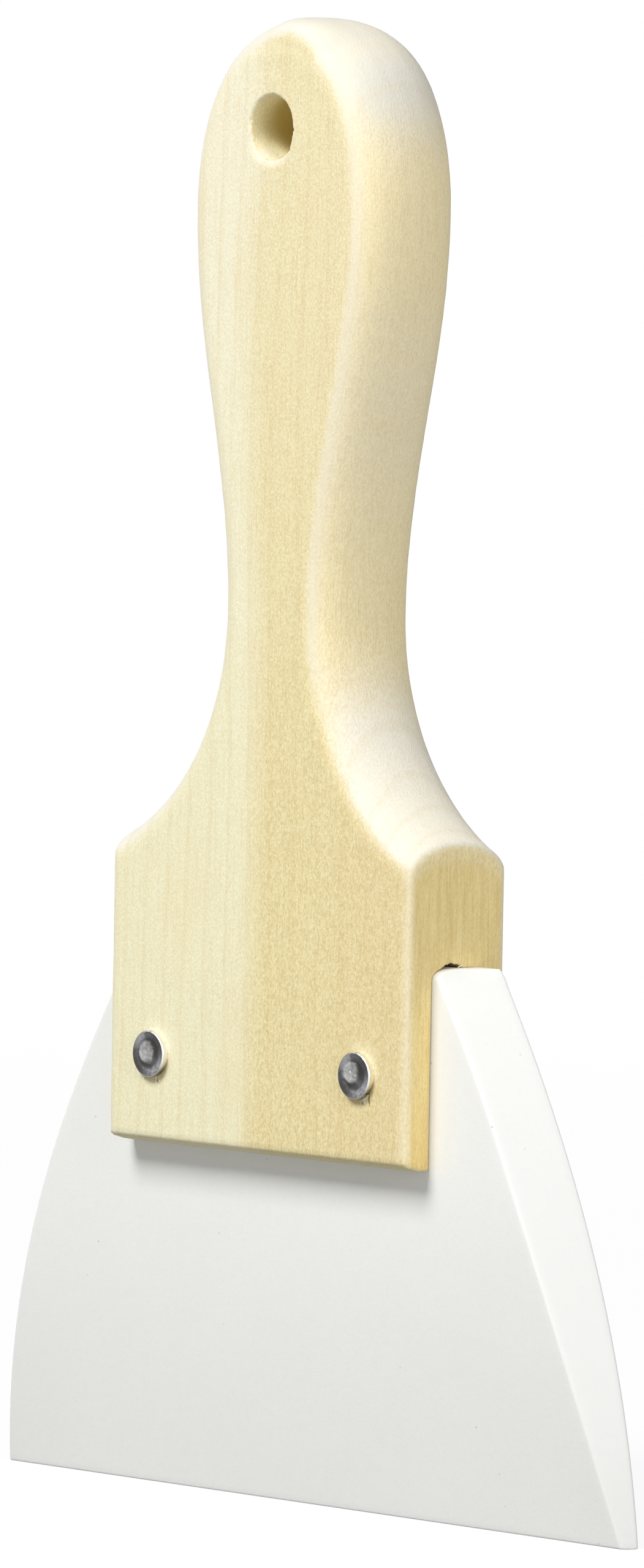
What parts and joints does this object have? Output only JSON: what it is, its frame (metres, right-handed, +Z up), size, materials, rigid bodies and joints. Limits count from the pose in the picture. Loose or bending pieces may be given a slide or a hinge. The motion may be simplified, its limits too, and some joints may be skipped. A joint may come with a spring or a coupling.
{
  "type": "silicone spatula",
  "caption": "Scraper spatula: a fan-shaped silicone blade riveted into a slot across the lower end of a flat, waisted wooden handle with a hang hole.",
  "frame": {"origin": "under the middle of the blade's working edge, at the middle of the part's box", "axes": "+Z up along the handle, +X across the blade to the right as seen from the front, front face towards -Y"},
  "size_m": [0.135, 0.0216, 0.214],
  "materials": {
    "wood": "bare sanded pale hardwood",
    "silicone": "satin white moulded silicone",
    "rivet": "dull pressed faces with polished rims"
  },
  "bodies": {
    "root": {"handle": "wood", "blade": "silicone", "rivet_left": "rivet", "rivet_right": "rivet"}
  },
  "joints": []
}
